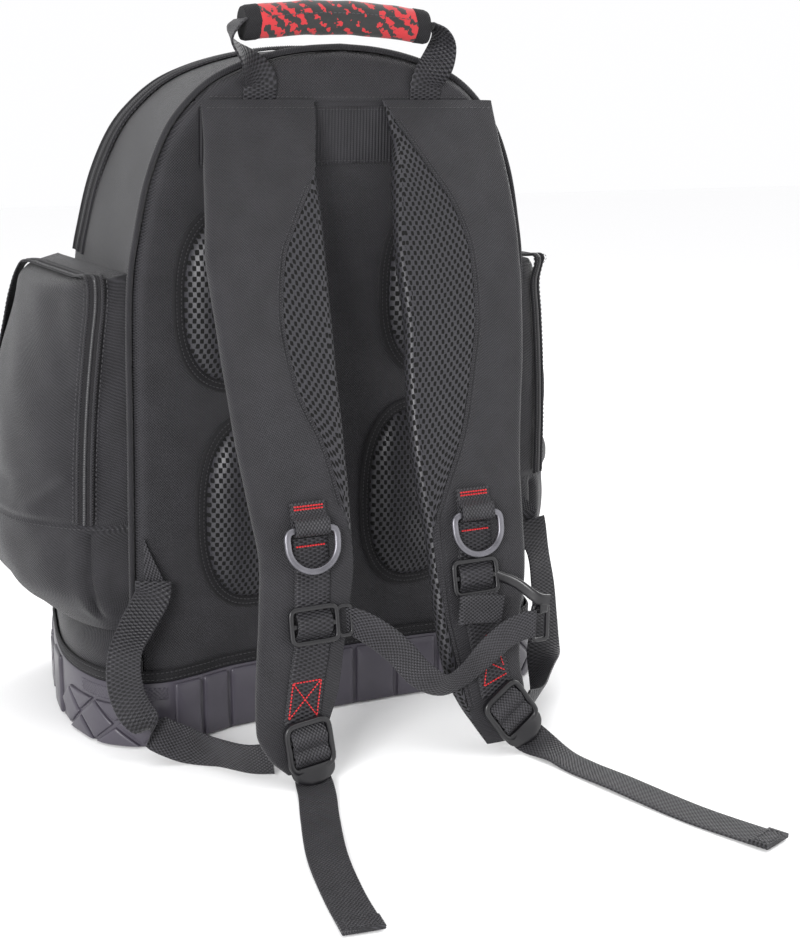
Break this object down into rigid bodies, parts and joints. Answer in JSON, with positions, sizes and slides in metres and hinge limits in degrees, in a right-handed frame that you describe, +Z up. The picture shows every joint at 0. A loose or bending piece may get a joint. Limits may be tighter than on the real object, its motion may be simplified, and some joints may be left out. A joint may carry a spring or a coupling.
{
  "type": "tool backpack",
  "caption": "Padded tool backpack standing on a moulded ribbed foot, with side pockets, mesh back pads, shoulder straps with webbing fittings, and a padded carry handle.",
  "frame": {"origin": "middle of the moulded foot's underside, on the floor", "axes": "+Z up the bag; -Y towards the shoulder straps, which is where the wearer's back goes; +X to the right of someone facing the straps"},
  "size_m": [0.4424, 0.5498, 0.5075],
  "materials": {
    "foot_plastic": "satin moulded, dark purple-grey",
    "body_cloth": "matte woven polyester, charcoal",
    "air_mesh": "open spacer mesh, near black with shiny yarn",
    "webbing": "woven ribbed polyester webbing, black",
    "zip_tape": "matte zip tape with a nylon coil, black",
    "grip_cloth": "matte woven cloth with an all-over red and black pattern",
    "ring_metal": "satin plated wire, grey",
    "buckle_acetal": "moulded acetal, near black, slight sheen"
  },
  "bodies": {
    "root": {"foot_tray": "foot_plastic", "main_shell": "body_cloth", "back_panel": "body_cloth", "panel_piping": "body_cloth", "pocket_left": "body_cloth", "pocket_right": "body_cloth", "strap_left": "body_cloth", "strap_right": "body_cloth", "wing_left": "body_cloth", "wing_right": "body_cloth", "pad_upper_left": "air_mesh", "pad_upper_right": "air_mesh", "pad_lower_left": "air_mesh", "pad_lower_right": "air_mesh", "foot_binding": "webbing", "top_band": "webbing", "handle_webbing_left": "webbing", "handle_webbing_right": "webbing", "pad_rim_upper_left": "webbing", "pad_rim_upper_right": "webbing", "pad_rim_lower_left": "webbing", "pad_rim_lower_right": "webbing", "strap_webbing_left": "webbing", "strap_webbing_right": "webbing", "ring_loop_left": "webbing", "ring_loop_right": "webbing", "lower_webbing_left": "webbing", "lower_webbing_right": "webbing", "tail_left": "webbing", "tail_right": "webbing", "chest_strap": "webbing", "chest_fold": "webbing", "main_zip": "zip_tape", "pocket_zip_left": "zip_tape", "pocket_zip_right": "zip_tape", "handle_grip": "grip_cloth", "slide_left": "buckle_acetal", "slide_right": "buckle_acetal", "ladder_lock_left": "buckle_acetal", "ladder_lock_right": "buckle_acetal", "chest_loop": "buckle_acetal", "chest_hook": "buckle_acetal"},
    "ring_left": {"d_ring_left": "ring_metal"},
    "ring_right": {"d_ring_right": "ring_metal"}
  },
  "joints": [
    {"name": "ring_swing_left", "type": "hinge", "parent": "root", "child": "ring_left", "pos_m": [-0.06027, -0.20055, 0.16892], "axis": [-1, 0, 0], "range_deg": [0, 150]},
    {"name": "ring_swing_right", "type": "hinge", "parent": "root", "child": "ring_right", "pos_m": [0.05945, -0.2076, 0.16723], "axis": [-1, 0, 0], "range_deg": [0, 150]}
  ]
}
